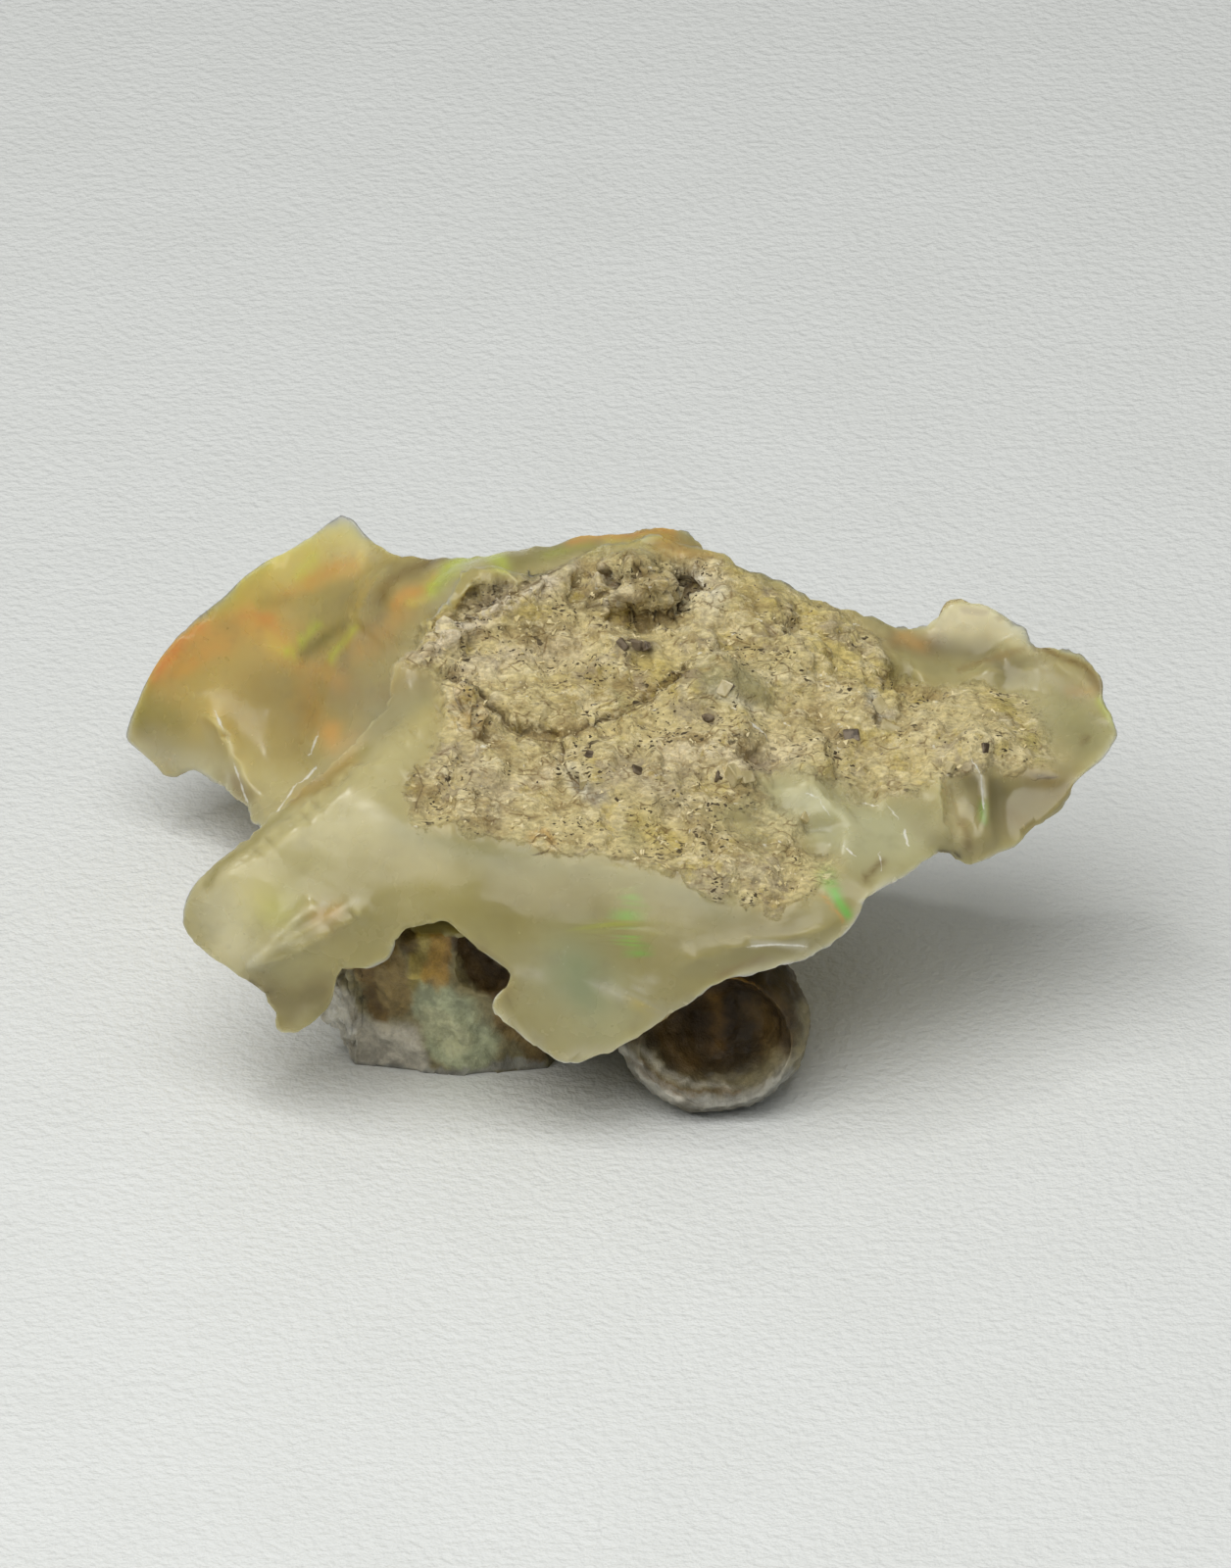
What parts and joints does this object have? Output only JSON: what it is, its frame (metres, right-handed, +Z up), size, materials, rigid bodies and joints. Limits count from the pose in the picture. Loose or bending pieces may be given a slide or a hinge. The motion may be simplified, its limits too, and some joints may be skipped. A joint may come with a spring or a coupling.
{
  "type": "rough opal",
  "caption": "Rough fractured piece of pale honey opal with a scooped wing, a crust of tan host rock on top, a rocky foot and a hollow round nodule underneath.",
  "frame": {"origin": "middle of the footprint's box, at the height of the surface that the stone rests on", "axes": "+X across the stone to its pointed right end, its longest extent; +Y away from the viewer, towards the back; +Z up, square to the surface that it rests on"},
  "size_m": [0.0322, 0.0242, 0.014],
  "materials": {
    "opal": "pale honey opal, glossy where it broke, with a rough tan crust on its top"
  },
  "bodies": {
    "root": {"rough_opal": "opal"}
  },
  "joints": []
}
